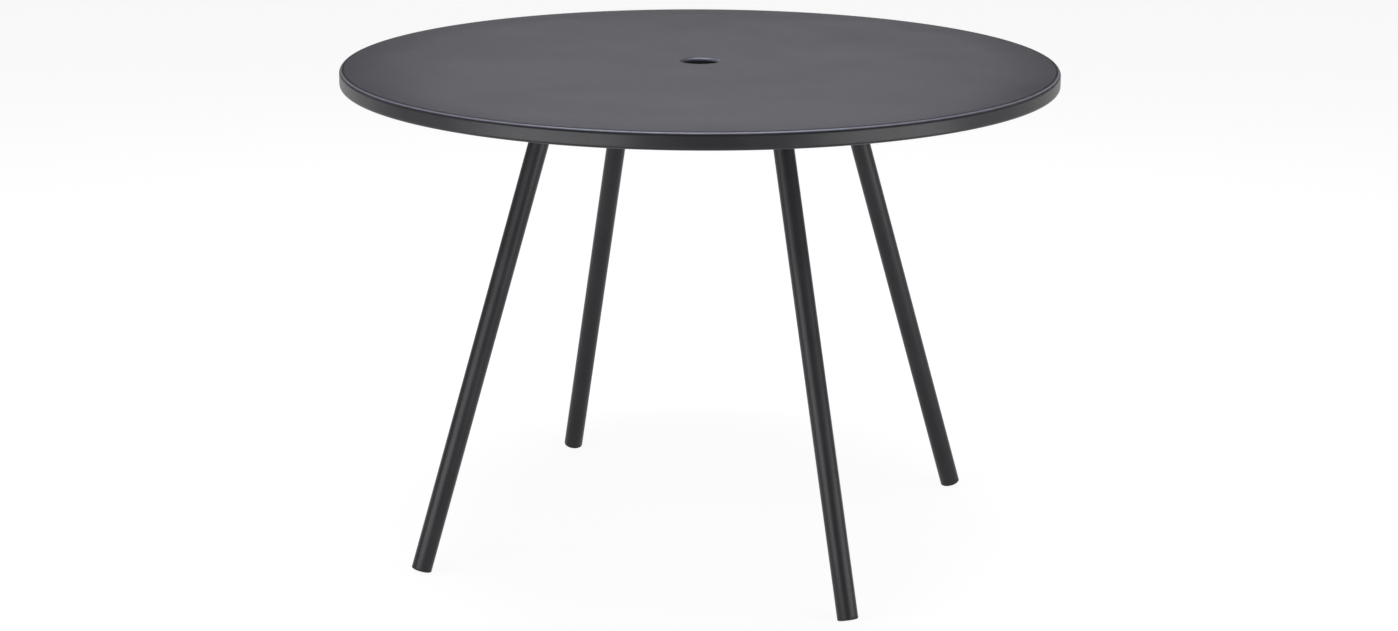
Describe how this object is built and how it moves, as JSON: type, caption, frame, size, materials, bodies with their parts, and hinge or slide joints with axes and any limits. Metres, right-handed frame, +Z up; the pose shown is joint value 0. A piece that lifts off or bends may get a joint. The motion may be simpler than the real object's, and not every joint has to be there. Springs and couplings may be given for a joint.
{
  "type": "outdoor dining table",
  "caption": "Round powder-coated aluminium outdoor dining table with a turned-down rim, a central parasol hole and splayed round tube legs on plastic foot plugs.",
  "frame": {"origin": "on the floor, under the centre of the round top", "axes": "+Z up along the parasol hole; +X and +Y point between the legs, which stand on the diagonals"},
  "size_m": [1.0998, 1.1, 0.755],
  "materials": {
    "powder_coat": "satin",
    "plain_aluminium": "satin",
    "stainless_steel": "satin",
    "black_nylon": "matte"
  },
  "bodies": {
    "root": {"centre_plate": "powder_coat", "frame_rail_1": "powder_coat", "frame_rail_2": "powder_coat", "frame_rail_3": "powder_coat", "frame_rail_4": "powder_coat", "leg_flange_1": "powder_coat", "leg_flange_2": "powder_coat", "leg_flange_3": "powder_coat", "leg_flange_4": "powder_coat", "leg_tube_1": "powder_coat", "leg_tube_2": "powder_coat", "leg_tube_3": "powder_coat", "leg_tube_4": "powder_coat", "leg_welds": "powder_coat", "table_top": "powder_coat", "backing_plate_1": "plain_aluminium", "backing_plate_2": "plain_aluminium", "backing_plate_3": "plain_aluminium", "backing_plate_4": "plain_aluminium", "centre_rivets": "plain_aluminium", "weld_studs": "plain_aluminium", "leg_bolts": "stainless_steel", "leg_washers": "stainless_steel", "stud_nuts": "stainless_steel", "foot_plug_1": "black_nylon", "foot_plug_2": "black_nylon", "foot_plug_3": "black_nylon", "foot_plug_4": "black_nylon"}
  },
  "joints": []
}
